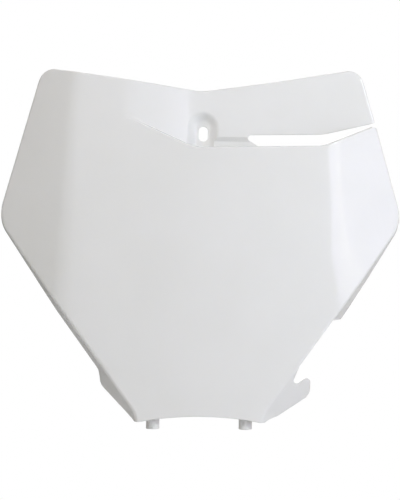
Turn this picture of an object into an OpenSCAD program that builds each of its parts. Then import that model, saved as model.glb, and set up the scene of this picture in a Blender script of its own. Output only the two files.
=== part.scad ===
// Front number board of an off-road motorbike, moulded in one piece.
// A crowned plate carries two swept-back wings. Its top is stepped back into a
// band that holds the screw seat, and its lower sides are folded into flanges.
// X runs across the board, Y to the rear and Z up. The origin is the middle of
// the screw slot, on the rear face of its seat. Lengths are in millimetres.

/* [Outline] */
// Width over the two wing tips
board_w = 272; // [258:1:286]
// Wall thickness of the moulding
wall = 2.4; // [2:0.1:3]
// Height of the wing tips, from the screw slot
tip_z = -54.3; // [-62:0.1:-50]
// Radius of the wing tips in the front view
tip_r = 24; // [18:1:30]
// Lean of the sides above the wing tips
side_lean = 16.7; // [14:0.1:19]
// Lean of the sides below the wing tips
keel_lean = 36.1; // [34:0.1:38]
// Height of the top edge at its lowest point
top_z = 28.4; // [27:0.1:33]
// Rise of the top edge towards its corners
top_rise = 8.2; // [5:0.1:9]
// Width over which the two halves of the top edge blend
top_blend = 12; // [6:1:20]
// Where the top edge turns up a little more, towards the right corner
top_turn_x = 52; // [46:1:58]
// Angle of that turn
top_turn = 1.8; // [0:0.1:2.5]
// Length over which it turns
top_turn_soft = 30; // [10:1:40]
// Radius of the top corners
top_corner_r = 11; // [6:0.5:14]
// Width of the bottom edge
bottom_w = 86.4; // [80:0.1:94]
// Radius that leads the sides into the bottom corners
bottom_corner_r = 14.5; // [8:0.5:18]
// Height of the arch of the bottom edge over its corners
bottom_arch = 3.9; // [1:0.1:5]

/* [Front surface] */
// Radius of the crown across the plate
crown_r = 600; // [450:10:900]
// Angle of the wings to the front
wing_sweep = 28; // [24:1:32]
// Distance of the wing bends from each other's middle, at the screw slot
bend_x = 88.1; // [84:0.1:92]
// Place of that middle, to the right of the board's own
bend_shift = 0.4; // [0:0.1:1]
// Outward run of the left bend for each millimetre downwards
left_bend_run = 0.056; // [0.04:0.001:0.09]
// Outward run of the right bend for each millimetre downwards
bend_run = 0.072; // [0.05:0.001:0.09]
// Height at which the right bend turns further out
bend_turn_z = -64; // [-72:1:-56]
// Outward run that it gains below that turn
bend_turn_run = 0.11; // [0:0.01:0.2]
// Length over which it turns
bend_turn_soft = 30; // [20:1:40]
// Width of the soft bends, at the screw slot
bend_soft = 10.7; // [7:0.1:14]
// Growth of that width for each millimetre downwards
bend_soft_run = 0.046; // [0:0.001:0.06]

/* [Stepped top] */
// Depth of the band behind the crown, at the middle
band_depth = 14; // [11:0.1:17]
// Angle of the band to the front
band_sweep = 5.5; // [4:0.1:7]
// Where the slanted facet leaves the plate
facet_x = -50; // [-56:1:-46]
// Where the slanted facet meets the band
facet_end_x = -5; // [-9:0.5:-3]
// Width of the soft bend at each end of the facet
facet_soft = 9; // [6:1:10]
// Height at which the rim of the plate starts on the left
ridge_z = 10.4; // [8:0.1:12]
// Height of the rim where the facet meets the band
rim_z = -9.5; // [-11:0.1:-8]
// Slope of the rim under the band
rim_lean = 1.2; // [0:0.1:3]
// Where the rim turns up towards the right wing
rise_x = 83; // [76:1:88]
// Slope of the rim past that turn
rim_rise = 22; // [20:0.5:24]
// Size of the broken edge along the rim
rim_edge = 0.8; // [0.4:0.1:1.2]
// Run of the wall under the rim, for draft
wall_draft = 0.5; // [0.2:0.1:1]

/* [Air slot] */
// Left end of the slot between the plate and the band
slot_x = 31.5; // [28:0.5:34]
// Height of the lower edge of the band
slot_top_z = -0.9; // [-2:0.1:0]
// Slope of that edge past the turn
slot_rise = 13.3; // [12:0.1:15]
// Radius of the left end of the slot
slot_nose_r = 2; // [1:0.1:2.5]
// Radius of the plate's corner at the open end of the slot
mouth_r = 3; // [1:0.1:4]
// Radius of the band's corner there
band_corner_r = 2; // [1:0.1:3]
// Run of the slanted floor of the slot behind its left end
slot_ramp = 7; // [4:0.5:9]

/* [Screw seat] */
// Place of the screw slot, to the right of the board's middle
seat_x = 1.2; // [0:0.1:2]
// Width of the screw slot
screw_slot_w = 6.2; // [5.3:0.1:7]
// Length of the screw slot
screw_slot_l = 10.1; // [8:0.1:12]
// Radius of the pocket round the screw head
pocket_r = 9.85; // [9:0.05:11]
// Height of the middle of the pocket's arch
pocket_z = 4.2; // [3:0.1:5]
// Depth of the pocket below the band
pocket_depth = 5; // [4:0.1:6]
// Height of the cone at the foot of the pocket's wall
pocket_dish = 2; // [1:0.1:2.5]
// Thickness of the screw seat
seat_wall = 3; // [2.5:0.1:4]
// Depth of the channel that joins the pocket to the air slot
channel_depth = 4; // [3:0.1:5]
// Height of the upper edge of the channel
channel_z = -1.9; // [-3:0.1:-1.8]
// Drop of the channel's slanted upper side
channel_side = 2.9; // [1.5:0.1:3]

/* [Side flanges] */
// Radius of the fold along the sides
fold_r = 3.5; // [3.2:0.1:5]
// Angle by which the edges of the wings roll back
edge_roll = 35; // [20:1:50]
// Width of the flat behind that rolled edge
edge_lip = 0.6; // [0.4:0.1:1.5]
// Outward lean of the left flange from straight back
flange_flare = 11.5; // [8:0.5:15]
// Outward lean of the right flange above its gap
right_flare = 17; // [8:0.5:20]
// Depth of the flanges half-way down the sides
flange_depth = 16.5; // [14:0.5:20]
// Height at which the flanges have that depth
flange_z = -118; // [-118:1:-100]
// Depth of the left flange at its lower lobe
lobe_depth = 25; // [21:0.5:28]
// Outward lean of the left flange at its lower lobe
lobe_flare = 19; // [12:0.5:20]
// Depth of the right flange at its hook
hook_depth = 32; // [28:0.5:36]
// Outward lean of the right flange at its hook
hook_flare = 35; // [25:0.5:40]
// Height of the deepest part of both flanges
lobe_z = -168; // [-172:0.5:-166]
// Depth of both flanges a little above the bottom corners
toe_depth = 12; // [7:0.5:13]
// Depth of the flanges at the bottom corners
foot_depth = 2; // [1:0.5:4]
// Height at which the right flange stops
gap_top_z = -125; // [-130:0.5:-122]
// Height of the hook's nose, where the right flange starts again
gap_foot_z = -165.4; // [-168:0.1:-164]
// Distance of the hook's outer side from the middle
hook_x = 76; // [73:0.5:78]
// Radius of the hook's nose and of its throat
nose_r = 3; // [2:0.1:4]

/* [Pins] */
// Diameter of the two locating pins
pin_d = 9; // [8:0.1:10]
// Distance between the two pins
pin_gap = 62.5; // [56:0.1:66]
// Distance of the pins behind the crown
pin_back = 11; // [9:0.5:13]
// Length of a pin below its shoulder
pin_l = 7.3; // [5:0.1:10]
// Chamfer at the tip of a pin
pin_chamfer = 0.6; // [0.3:0.1:1]
// Depth of the shelf that carries the pins, from the crown
shelf_depth = 17; // [16:0.5:20]
// Height of the shelf above the bottom edge
shelf_up = 1.6; // [0.5:0.1:2]
// Width of the shoulder round the root of a pin
shoulder = 1.4; // [1:0.1:2]
// Height of the gussets over the pins
gusset_h = 14; // [8:0.5:18]

/* [Hidden] */
$fn = 48;

// Steps across a fold
FOLD_STEPS = 4;
// Steps across a soft bend
BEND_STEPS = 4;
// Steps round a wing tip
TIP_STEPS = 5;
// Steps round a bottom corner
CORNER_STEPS = 3;
// Steps along a short curve
CURVE_STEPS = 12;
// Length of a cutter that passes right through the board
THROUGH = 160;
// Overlap of two forms that are joined
OVERLAP = 0.01;

// Crown and seat
crest_y = -(band_depth + pocket_depth + seat_wall);
wing_gain = tan(wing_sweep) - bend_x / crown_r;
band_slope = tan(band_sweep);
facet_slope = (band_depth + band_slope * facet_end_x) / (facet_end_x - facet_x);

// Blending of two straight runs: 0 before, u after, a parabola of width w between
function ramp(u, w) = u <= -w / 2 ? 0 : u >= w / 2 ? u : pow(u + w / 2, 2) / (2 * w);
// Slope of that run
function ramp_slope(u, w) = min(1, max(0, u / w + 0.5));
// Part of the way from a to b
function mix(a, b, k) = a + (b - a) * k;

// Side outline
tip_cx = board_w / 2 - tip_r;
tip_top = tip_z + tip_r * sin(side_lean);
tip_foot = tip_z - tip_r * sin(keel_lean);
corner_cx = bottom_w / 2 + bottom_corner_r;
corner_x = corner_cx - bottom_corner_r * cos(keel_lean);
corner_top = tip_foot - (tip_cx + tip_r * cos(keel_lean) - corner_x) / tan(keel_lean);
bottom_z = corner_top - bottom_corner_r * sin(keel_lean);

// Direction of the outline's normal at height z
function edge_angle(z) =
    z >= tip_top ? side_lean :
    z >= tip_foot ? asin((z - tip_z) / tip_r) :
    z >= corner_top ? -keel_lean :
    asin(max(-1, (bottom_z - z) / bottom_corner_r));

// Half width of the outline at height z
function edge_x(z) =
    z >= tip_top ? tip_cx + tip_r * cos(side_lean) - (z - tip_top) * tan(side_lean) :
    z >= tip_foot ? tip_cx + tip_r * cos(edge_angle(z)) :
    z >= corner_top ? tip_cx + tip_r * cos(keel_lean) - (tip_foot - z) * tan(keel_lean) :
    corner_cx - bottom_corner_r * cos(edge_angle(z));

// Bend lines of the wings
function bend_at(z, s) = s < 0 ? bend_x - bend_shift - left_bend_run * z :
    bend_x + bend_shift - bend_run * z + bend_turn_run * ramp(bend_turn_z - z, bend_turn_soft);
function soft_at(z) = bend_soft - bend_soft_run * z;
function wing_y(x, z) = wing_gain * ramp(abs(x) - bend_at(z, x), soft_at(z));
function wing_slope(x, z) = sign(x) * wing_gain * ramp_slope(abs(x) - bend_at(z, x), soft_at(z));

// Front surface of the plate, below the rim
function plate_y(x, z) = crest_y + x * x / (2 * crown_r) + wing_y(x, z);
function plate_slope(x, z) = x / crown_r + wing_slope(x, z);

// Front surface of the facet and the band, above the rim
function step_y(x) = facet_slope * ramp(x - facet_x, facet_soft)
    - (facet_slope - band_slope) * ramp(x - facet_end_x, facet_soft);
function step_slope(x) = facet_slope * ramp_slope(x - facet_x, facet_soft)
    - (facet_slope - band_slope) * ramp_slope(x - facet_end_x, facet_soft);
function band_y(x, z) = step_y(x) + (x < 0 ? plate_y(x, z) : crest_y);
function band_dx(x, z) = step_slope(x) + (x < 0 ? plate_slope(x, z) : 0);

// Height of the rim between the plate and the stepped top
ridge_slope = (ridge_z - rim_z) / (facet_end_x - facet_x);
function rim_at(x) = ridge_z
    - ridge_slope * (ramp(x - facet_x, facet_soft) - ramp(x - facet_end_x, facet_soft))
    + tan(rim_lean) * ramp(x - facet_end_x, facet_soft)
    + (tan(rim_rise) - tan(rim_lean)) * ramp(x - rise_x, facet_soft);

// Height of the top edge
function top_at(x) = top_z + tan(top_rise) * (2 * ramp(x, top_blend) - x)
    + tan(top_turn) * ramp(x - top_turn_x, top_turn_soft);
function top_slope(s) = tan(top_rise) + (s < 0 ? 0 : tan(top_turn));
function top_corner_z(s) =
    (top_z - (s < 0 ? 0 : tan(top_turn) * top_turn_x) + top_slope(s) * edge_x(0))
    / (1 + top_slope(s) * tan(side_lean));
rise_z = rim_z + tan(rim_lean) * (rise_x - facet_end_x);
rim_end_z = (rise_z + tan(rim_rise) * (edge_x(0) - rise_x)) / (1 + tan(rim_rise) * tan(side_lean));
function edge_rim(s) = s < 0 ? ridge_z : rim_end_z;

// Depth and flare of the side flanges, down the sides
lobe_top = lobe_z + 2.8;
jog_z = lobe_z + 10;
toe_z = bottom_z + 5;
function flange_at(z, s) = lookup(z, concat(
    [[bottom_z, foot_depth], [toe_z, toe_depth]],
    s < 0 ? [[lobe_z, lobe_depth], [lobe_top, lobe_depth], [jog_z, flange_depth]]
        : [[lobe_z, hook_depth], [lobe_top, hook_depth], [gap_top_z, flange_depth]],
    [[flange_z, flange_depth], [tip_z, edge_lip]]));
function flare_at(z, s) = s < 0
    ? lookup(z, [[lobe_top, lobe_flare], [jog_z, flange_flare]])
    : lookup(z, [[lobe_top, hook_flare], [gap_top_z, right_flare]]);

// A row of the surface is its kind and how far along it lies
LOW = 0;
MID = 1;
RIM = 2;
TOP = 3;

function arch_at(z) = bottom_arch * max(0, (lobe_z - z) / (lobe_z - bottom_z));
rows = concat(
    [for (i = [0 : CORNER_STEPS])
        [LOW, bottom_z + bottom_corner_r * sin(keel_lean * i / CORNER_STEPS)]],
    [for (z = [mix(corner_top, lobe_z, 0.5), lobe_z, lobe_top, jog_z, gap_top_z]) [LOW, z]],
    [for (k = [0.25, 0.5, 0.75]) [LOW, mix(gap_top_z, tip_foot, k)]],
    [for (i = [0 : TIP_STEPS])
        [LOW, tip_z + tip_r * sin(mix(-keel_lean, side_lean, i / TIP_STEPS))]],
    [[MID, 0.5]],
    [[RIM, -rim_edge], [RIM, 0], [RIM, wall_draft]],
    [[TOP, 0.5], [TOP, 1]]);

// Height of a row at x
function row_z(r, x) =
    r[0] == LOW ? r[1] + arch_at(r[1]) * max(0, 1 - pow(2 * x / bottom_w, 2)) :
    r[0] == MID ? mix(tip_top, rim_at(x) - rim_edge, r[1]) :
    r[0] == RIM ? rim_at(x) + r[1] :
    mix(rim_at(x) + wall_draft, top_at(x), r[1]);
// Height of a row where it meets the side s
function row_end_z(r, s) =
    r[0] == LOW ? r[1] :
    r[0] == MID ? mix(tip_top, edge_rim(s) - rim_edge, r[1]) :
    r[0] == RIM ? edge_rim(s) + r[1] :
    mix(edge_rim(s) + wall_draft, top_corner_z(s), r[1]);

// Whether a row follows the stepped top, and how deep the step is at x
function on_top(r) = r[0] == TOP || (r[0] == RIM && r[1] == wall_draft);
function step_at(x, z) = max(0, band_y(x, z) - plate_y(x, z));
function front_y(r, x, z) = on_top(r) ? band_y(x, z) :
    plate_y(x, z) + (r[0] == RIM && r[1] == 0 ? min(rim_edge, step_at(x, z)) : 0);
function front_slope(r, x, z) = on_top(r) ? band_dx(x, z) : plate_slope(x, z);
// Drop of the rear face under the rim, which gives the wall there its thickness
function rear_drop(r, x, z) = r[0] == RIM ? (wall + r[1]) * min(1, step_at(x, z) / wall) : 0;

// Direction of the surface where its fold starts and ends, from the front plane
function fold_from(r, s) = let (z = row_end_z(r, s), x = s * edge_x(z))
    atan(s * front_slope(r, x, z) * cos(edge_angle(z)));
function fold_to(r, s) = let (z = row_end_z(r, s),
    k = min(1, max(0, (tip_top - z) / (tip_top - tip_foot))))
    mix(fold_from(r, s) + edge_roll, 90 - flare_at(z, s), k);
// Where the fold of a row starts, in the front view
function fold_start(r, s) = let (z = row_end_z(r, s), a = edge_angle(z),
    run = fold_r * (sin(fold_to(r, s)) - sin(fold_from(r, s))))
    [s * (edge_x(z) - run * cos(a)), z - run * sin(a)];

// One point of a fold: u along its arc, then out by h, at depth t in the wall
function fold_point(r, s, u, h, t) = let (
    p = fold_start(r, s),
    g = edge_angle(row_end_z(r, s)),
    a = fold_from(r, s),
    b = fold_to(r, s),
    c = mix(a, b, u),
    out = fold_r * (sin(c) - sin(a)) + h * cos(b) - t * sin(c),
    back = fold_r * (cos(a) - cos(c)) + h * sin(b) + t * cos(c))
    [p[0] + s * out * cos(g), front_y(r, p[0], p[1]) + back, p[1] + out * sin(g)];
function fold(r, s, t) = concat(
    [for (i = [0 : FOLD_STEPS]) fold_point(r, s, i / FOLD_STEPS, 0, t)],
    [fold_point(r, s, 1, flange_at(row_end_z(r, s), s), t)]);

// Places of the columns across the plate at height z, before they are fitted
function soft_steps(x, w) = [for (i = [0 : BEND_STEPS]) x + w * (i / BEND_STEPS - 0.5)];
function columns(z) = concat(
    soft_steps(-bend_at(z, -1), soft_at(z)),
    soft_steps(facet_x, facet_soft),
    [for (k = [0.33, 0.67]) mix(facet_x, facet_end_x, k)],
    soft_steps(facet_end_x, facet_soft),
    [for (k = [0.2, 0.45, 0.7]) k * bend_at(z, 1)],
    soft_steps(bend_at(z, 1), soft_at(z)));
function plate_columns(r) = let (
    a = fold_start(r, -1),
    b = fold_start(r, 1),
    z = (a[1] + b[1]) / 2,
    half = soft_at(z) / 2,
    kl = min(1, (-a[0] - wall) / (bend_at(z, -1) + half)),
    kr = min(1, (b[0] - wall) / (bend_at(z, 1) + half)),
    all = [for (x = columns(z)) x * (x < 0 ? kl : kr)])
    concat([mix(a[0], all[0], 0.5)], all, [mix(all[len(all) - 1], b[0], 0.5)]);
function plate_point(r, x, t) = let (z = row_z(r, x), m = front_slope(r, x, z))
    [x, front_y(r, x, z) + t * sqrt(1 + m * m), z - (t > 0 ? rear_drop(r, x, z) : 0)];

function reversed(v) = [for (i = [len(v) - 1 : -1 : 0]) v[i]];
function row_points(r, t) = concat(
    reversed(fold(r, -1, t)),
    [for (x = plate_columns(r)) plate_point(r, x, t)],
    fold(r, 1, t));

// Closed skin over two grids of points, front and rear, with nr rows of nc
function quad(a, b, c, d) = [[a, b, c], [a, c, d]];
function skin_faces(nr, nc) = let (m = nr * nc) [
    for (j = [0 : nr - 2], i = [0 : nc - 2]) let (a = j * nc + i)
        each quad(a, a + nc, a + nc + 1, a + 1),
    for (j = [0 : nr - 2], i = [0 : nc - 2]) let (a = m + j * nc + i)
        each quad(a, a + 1, a + nc + 1, a + nc),
    for (i = [0 : nc - 2]) each quad(i, i + 1, m + i + 1, m + i),
    for (i = [m - nc : m - 2]) each quad(i + 1, i, m + i, m + i + 1),
    for (j = [0 : nr - 2]) let (a = j * nc) each quad(a + nc, a, m + a, m + a + nc),
    for (j = [1 : nr - 1]) let (a = j * nc - 1) each quad(a, a + nc, m + a + nc, m + a)];

// The folded sheet: plate, wings, facet, band and flanges in one wall
module sheet() {
    front = [for (r = rows) each row_points(r, 0)];
    rear = [for (r = rows) each row_points(r, wall)];
    polyhedron(concat(front, rear), skin_faces(len(rows), len(front) / len(rows)));
}

// A front-view outline, run from depth y0 to y1
module run(y0, y1) {
    translate([0, y1, 0]) rotate([90, 0, 0]) linear_extrude(y1 - y0) children();
}

// Everything above the foot of the rim's wall, in the front view. The pocket, the
// channel and the slot stay clear of that foot, each by a little more.
foot_clear = 0.15;
slot_clear = 0.25;
foot_lift = wall_draft + foot_clear;
slot_lift = wall_draft + slot_clear;
module above_foot(x0, x1) {
    polygon(concat(
        [for (i = [0 : CURVE_STEPS]) let (x = mix(x0, x1, i / CURVE_STEPS))
            [x, rim_at(x) + foot_lift]],
        [[x1, top_z], [x0, top_z]]));
}

// Everything behind the middle of the wall of the facet and the band, in the plan
boss_foot = rim_z - wall - 1;
module behind_band(x0, x1) {
    translate([0, 0, boss_foot - 1]) linear_extrude(top_z - boss_foot)
        polygon(concat(
            [for (i = [0 : CURVE_STEPS]) let (x = mix(x0, x1, i / CURVE_STEPS))
                [x, crest_y + step_y(x) + wall / 2]],
            [[x1, wall], [x0, wall]]));
}

// Screw seat: an arched boss behind the band
module boss() {
    r = pocket_r + wall;
    intersection() {
        behind_band(seat_x - r - 1, seat_x + r + 1);
        run(crest_y, 0) {
            translate([seat_x, pocket_z]) circle(r);
            translate([seat_x - r, boss_foot]) square([2 * r, pocket_z - boss_foot]);
        }
    }
}
module pocket() {
    floor_r = screw_slot_w / 2 + pocket_dish;
    intersection() {
        run(-THROUGH, -seat_wall) above_foot(seat_x - pocket_r - 1, seat_x + pocket_r + 1);
        translate([seat_x, 0, 0]) {
            run(-THROUGH, -seat_wall - pocket_dish) {
                translate([0, pocket_z]) circle(pocket_r);
                translate([-pocket_r, boss_foot]) square([2 * pocket_r, pocket_z - boss_foot]);
            }
            translate([0, -seat_wall, pocket_z]) rotate([90, 0, 0])
                cylinder(h = pocket_dish + OVERLAP, r1 = floor_r, r2 = pocket_r);
            translate([0, 0, boss_foot]) linear_extrude(pocket_z - boss_foot)
                polygon([[-floor_r, -seat_wall], [floor_r, -seat_wall],
                    [pocket_r, -seat_wall - pocket_dish - OVERLAP],
                    [-pocket_r, -seat_wall - pocket_dish - OVERLAP]]);
        }
    }
}
module screw_slot() {
    r = screw_slot_w / 2;
    translate([seat_x, 0, 0]) run(-seat_wall - wall, wall) {
        for (s = [-1, 1]) translate([0, s * (screw_slot_l / 2 - r)]) circle(r);
        square([screw_slot_w, screw_slot_l - screw_slot_w], center = true);
    }
}

// Channel along the lower edge of the band, and the wall behind it
module along_band(x0, x1) {
    translate([0, crest_y + band_depth, 0]) rotate([0, 0, band_sweep])
        translate([x0, 0, 0]) rotate([90, 0, 90]) linear_extrude(x1 - x0) children();
}
channel_end = slot_x + slot_ramp + 2;
module channel_back() {
    along_band(seat_x + pocket_r - 1, channel_end)
        polygon([[wall / 2, channel_z + wall], [wall + 0.5, channel_z + wall],
            [channel_depth + wall, channel_z - channel_side + wall],
            [channel_depth + wall, boss_foot + 0.5], [wall / 2, boss_foot + 0.5]]);
}
module channel() {
    lead = 0.2;
    along_band(seat_x, channel_end + 2)
        polygon([[-wall, channel_z], [-lead, channel_z], [channel_depth, channel_z - channel_side],
            [channel_depth, rim_z + foot_lift], [-wall, rim_z + foot_lift]]);
}

// Air slot between the rim of the plate and the band
function slot_upper(x) = slot_top_z + tan(rim_lean) * (x - slot_x)
    + (tan(slot_rise) - tan(rim_lean)) * ramp(x - rise_x, facet_soft);
slot_far = board_w / 2 + wall;
slot_end_z = (slot_upper(rise_x + facet_soft) + tan(slot_rise) * (edge_x(0) - rise_x - facet_soft))
    / (1 + tan(slot_rise) * tan(side_lean));
module air_slot() {
    nose = [slot_x + slot_nose_r, slot_top_z - slot_nose_r];
    turn = [for (i = [0 : 4]) rise_x + facet_soft * (i / 4 - 0.5)];
    run(-THROUGH, THROUGH) {
        translate(nose) circle(slot_nose_r);
        polygon(concat(
            [nose - [slot_nose_r * sin(30), slot_nose_r * cos(30)], nose, [nose[0], slot_top_z]],
            [for (x = turn) [x, slot_upper(x)]],
            [[slot_far, slot_upper(slot_far)], [slot_far, rim_at(slot_far) + slot_lift]],
            [for (x = reversed(turn)) [x, rim_at(x) + slot_lift]],
            [[slot_x + slot_ramp, rim_z + slot_lift]]));
    }
}

// Rounding of a corner at v between the directions of angles a and b, by radius r
module corner_cut(v, a, b, r) {
    da = [cos(a), sin(a)];
    db = [cos(b), sin(b)];
    mid = (da + db) / norm(da + db);
    half = acos(da * db) / 2;
    c = v + mid * r / sin(half);
    run(-THROUGH, THROUGH) difference() {
        polygon([v - mid * r, v + da * r / tan(half) - db * r / 2, v + da * r / tan(half), c,
            v + db * r / tan(half), v + db * r / tan(half) - da * r / 2]);
        translate(c) circle(r);
    }
}

// Gap in the right flange, down to the throat of the hook
gap_in = 0.5;
throat_in = 3.2 * nose_r;
nose_slope = 38;
module flange_gap() {
    function keel(z) = [edge_x(z) - gap_in, z];
    nose = [hook_x - nose_r, gap_foot_z - nose_r];
    throat = [hook_x - throat_in, gap_foot_z];
    low_z = gap_foot_z - throat_in - nose_r;
    run(-THROUGH, THROUGH) difference() {
        union() {
            translate(throat) circle(nose_r);
            polygon([keel(gap_top_z), [board_w / 2, gap_top_z], [board_w / 2, low_z], [hook_x, low_z],
                [hook_x, nose[1]], nose + nose_r * [-sin(nose_slope), cos(nose_slope)],
                throat + nose_r * [sin(nose_slope), -cos(nose_slope)], throat,
                throat - [nose_r, 0], keel(gap_foot_z + throat_in)]);
        }
        translate(nose) circle(nose_r);
    }
}

// Clearing of the flange's root behind the plate's edge, down to the throat
module gap_root() {
    function rear_y(z) = plate_y(edge_x(z) - fold_r, z) + wall + 0.3;
    top = gap_top_z - fold_r;
    foot = gap_foot_z + throat_in;
    fall = (top - foot) / cos(keel_lean);
    translate([edge_x(top), rear_y(top), top]) rotate([0, keel_lean, 0])
        rotate([-atan((rear_y(top) - rear_y(foot)) / fall), 0, 0])
            translate([-2 * wall, 0, -fall]) cube([board_w / 4, hook_depth, fall]);
}

// Shelf behind the bottom edge, which carries the pins
shelf_top = bottom_z + bottom_arch + shelf_up;
shelf_front = crest_y + wall - 0.3;
function shelf_z(x) = shelf_top - bottom_arch * pow(2 * x / bottom_w, 2);
module shelf() {
    arch_r = (pow(bottom_w / 2, 2) + pow(bottom_arch, 2)) / (2 * bottom_arch);
    half = bottom_w / 2 - wall;
    run(shelf_front, crest_y + shelf_depth) intersection() {
        translate([0, shelf_top - arch_r]) difference() {
            circle(r = arch_r + wall, $fn = 200);
            circle(r = arch_r, $fn = 200);
        }
        translate([-half, bottom_z - wall]) square([2 * half, bottom_arch + 4 * wall]);
    }
}

// Locating pin under the shelf, with a shoulder at its root
module pin(s) {
    root_z = shelf_z(pin_gap / 2 + pin_d);
    translate([s * pin_gap / 2, crest_y + pin_back, root_z]) {
        translate([0, 0, -pin_l])
            cylinder(h = pin_chamfer, d1 = pin_d - 2 * pin_chamfer, d2 = pin_d);
        translate([0, 0, pin_chamfer - pin_l])
            cylinder(h = pin_l - pin_chamfer + wall, d = pin_d);
        cylinder(h = wall, d = pin_d + 2 * shoulder);
    }
}

// Upright web between the plate and the shelf, over a pin
module gusset(s) {
    foot = shelf_z(pin_gap / 2) + wall / 2;
    rear = crest_y + shelf_depth - 1;
    translate([s * pin_gap / 2 - wall / 2, 0, 0]) rotate([90, 0, 90]) linear_extrude(wall)
        polygon([[shelf_front + 1, foot], [rear, foot], [shelf_front + 2, foot + gusset_h],
            [shelf_front + 1, foot + gusset_h]]);
}

// The whole moulding
module number_board() {
    color("white") translate([-seat_x, 0, 0]) difference() {
        union() {
            sheet();
            boss();
            channel_back();
            shelf();
            for (s = [-1, 1]) {
                pin(s);
                gusset(s);
            }
        }
        pocket();
        screw_slot();
        channel();
        air_slot();
        flange_gap();
        gap_root();
        for (s = [-1, 1])
            corner_cut([s * edge_x(top_corner_z(s)), top_corner_z(s)],
                90 + s * (90 + atan(top_slope(s))), s * (side_lean - 90) + (s < 0 ? 180 : 0),
                top_corner_r);
        corner_cut([edge_x(rim_end_z) + edge_lip, rim_end_z], 180 + rim_rise, side_lean - 90, mouth_r);
        corner_cut([edge_x(slot_end_z) + edge_lip, slot_end_z], 180 + slot_rise, 90 + side_lean,
            band_corner_r);
    }
}

number_board();
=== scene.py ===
import math

import bmesh
import bpy
import numpy as np
from mathutils import Matrix, Vector


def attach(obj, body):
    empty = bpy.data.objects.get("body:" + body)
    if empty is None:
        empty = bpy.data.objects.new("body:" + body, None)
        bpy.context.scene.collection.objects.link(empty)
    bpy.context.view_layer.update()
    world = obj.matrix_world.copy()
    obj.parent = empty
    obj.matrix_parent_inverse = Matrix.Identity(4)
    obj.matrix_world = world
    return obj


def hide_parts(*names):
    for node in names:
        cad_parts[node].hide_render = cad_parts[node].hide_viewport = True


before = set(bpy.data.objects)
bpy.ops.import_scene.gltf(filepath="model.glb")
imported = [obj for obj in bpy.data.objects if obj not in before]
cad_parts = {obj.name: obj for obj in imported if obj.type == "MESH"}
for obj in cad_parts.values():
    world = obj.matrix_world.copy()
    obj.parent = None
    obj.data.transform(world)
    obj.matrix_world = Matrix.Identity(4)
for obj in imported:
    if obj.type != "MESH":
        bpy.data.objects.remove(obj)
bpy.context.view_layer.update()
scene = bpy.context.scene

# The camera
# It stands straight in front of the board, a metre and a half away, a little to
# the left of its middle and above it, and is turned by half a degree.
target = Vector((-0.0018, -0.022, -0.07835))
distance, roll = 1.510, math.radians(0.537)
azimuth, elevation = math.radians(-1.0), math.radians(0.61)
pixels_per_metre, frame_height = 1494, 500
forward = Vector((-math.sin(azimuth) * math.cos(elevation),
                  math.cos(azimuth) * math.cos(elevation), -math.sin(elevation)))
level = Vector((math.cos(azimuth), math.sin(azimuth), 0))
upright = level.cross(forward)
across = level * math.cos(roll) + upright * math.sin(roll)
upwards = upright * math.cos(roll) - level * math.sin(roll)
lens = bpy.data.cameras.new("camera")
lens.lens = pixels_per_metre * distance / frame_height * lens.sensor_width
camera = bpy.data.objects.new("camera", lens)
bpy.context.collection.objects.link(camera)
aimed = Matrix((across, upwards, -forward)).transposed().to_4x4()
camera.matrix_world = Matrix.Translation(target - forward * distance) @ aimed
scene.camera = camera

# The white plastic
# The whole board is one white polypropylene. The mould leaves it semi-gloss, with
# a faint orange peel, slow changes of gloss where it cooled, and fine rub marks.
milk, cream, dulled = (0.81, 0.81, 0.803, 1), (0.795, 0.795, 0.784, 1), (0.70, 0.70, 0.68, 1)
plastic_body = {"IOR": 1.49, "Subsurface Weight": 0.25, "Subsurface Radius": (1.0, 0.95, 0.85),
                "Subsurface Scale": 0.002}
cooled_size, wave_size, peel_size, handled_size = 0.060, 0.040, 0.0016, 0.070
cooled_levels, handled_levels, rub_levels = (0.30, 0.70), (0.48, 0.66), (0.62, 0.74)
upright_rub, upright_stretch = 0.0011, 0.04
slanted_rub, slanted_stretch, rub_slant = 0.0014, 0.05, 0.6
wave_height, peel_height, rub_height = 0.00025, 0.000012, 0.3
roughness, cooled_roughness, rub_roughness, rub_shade = 0.165, 0.030, 0.05, 0.08


class Value:
    """A node socket that can stand in a sum."""

    def __init__(self, tree, socket):
        self.tree, self.socket = tree, socket

    def node(self, kind, settings=(), sockets=(), out=0):
        """Adds a node: its settings first, then its sockets' values or links."""
        made = self.tree.nodes.new(kind)
        for key, value in dict(settings).items():
            setattr(made, key, value)
        for key, value in dict(sockets).items():
            if isinstance(value, Value):
                self.tree.links.new(value.socket, made.inputs[key])
            else:
                made.inputs[key].default_value = value
        return Value(self.tree, made.outputs[out] if made.outputs else None)

    def math(self, operation, *values):
        return self.node("ShaderNodeMath", {"operation": operation}, enumerate(values))

    def __abs__(self):
        return self.math("ABSOLUTE", self)

    def __gt__(self, other):
        return self.math("GREATER_THAN", self, other)


def sign(operation, swapped=False):
    """An arithmetic sign between sockets, as a math node."""
    def call(a, b):
        return a.math(operation, b, a) if swapped else a.math(operation, a, b)
    return call


for short, operation in (("add", "ADD"), ("sub", "SUBTRACT"), ("mul", "MULTIPLY"), ("truediv", "DIVIDE")):
    setattr(Value, f"__{short}__", sign(operation))
    setattr(Value, f"__r{short}__", sign(operation, swapped=True))


def noise(place, size, detail=2.0, stretch=(1, 1, 1)):
    """Noise about a half, whose lumps are as large as size, in metres."""
    scaled = place.node("ShaderNodeVectorMath", {"operation": "MULTIPLY"},
                        {0: place, 1: tuple(s / size for s in stretch)})
    return scaled.node("ShaderNodeTexNoise", {}, {"Vector": scaled, "Scale": 1.0, "Detail": detail})


def between(value, low, high):
    """0 below one level, 1 above the other, and smooth in between."""
    return value.node("ShaderNodeMapRange", {"interpolation_type": "SMOOTHSTEP"},
                      {"Value": value, "From Min": low, "From Max": high})


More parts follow.
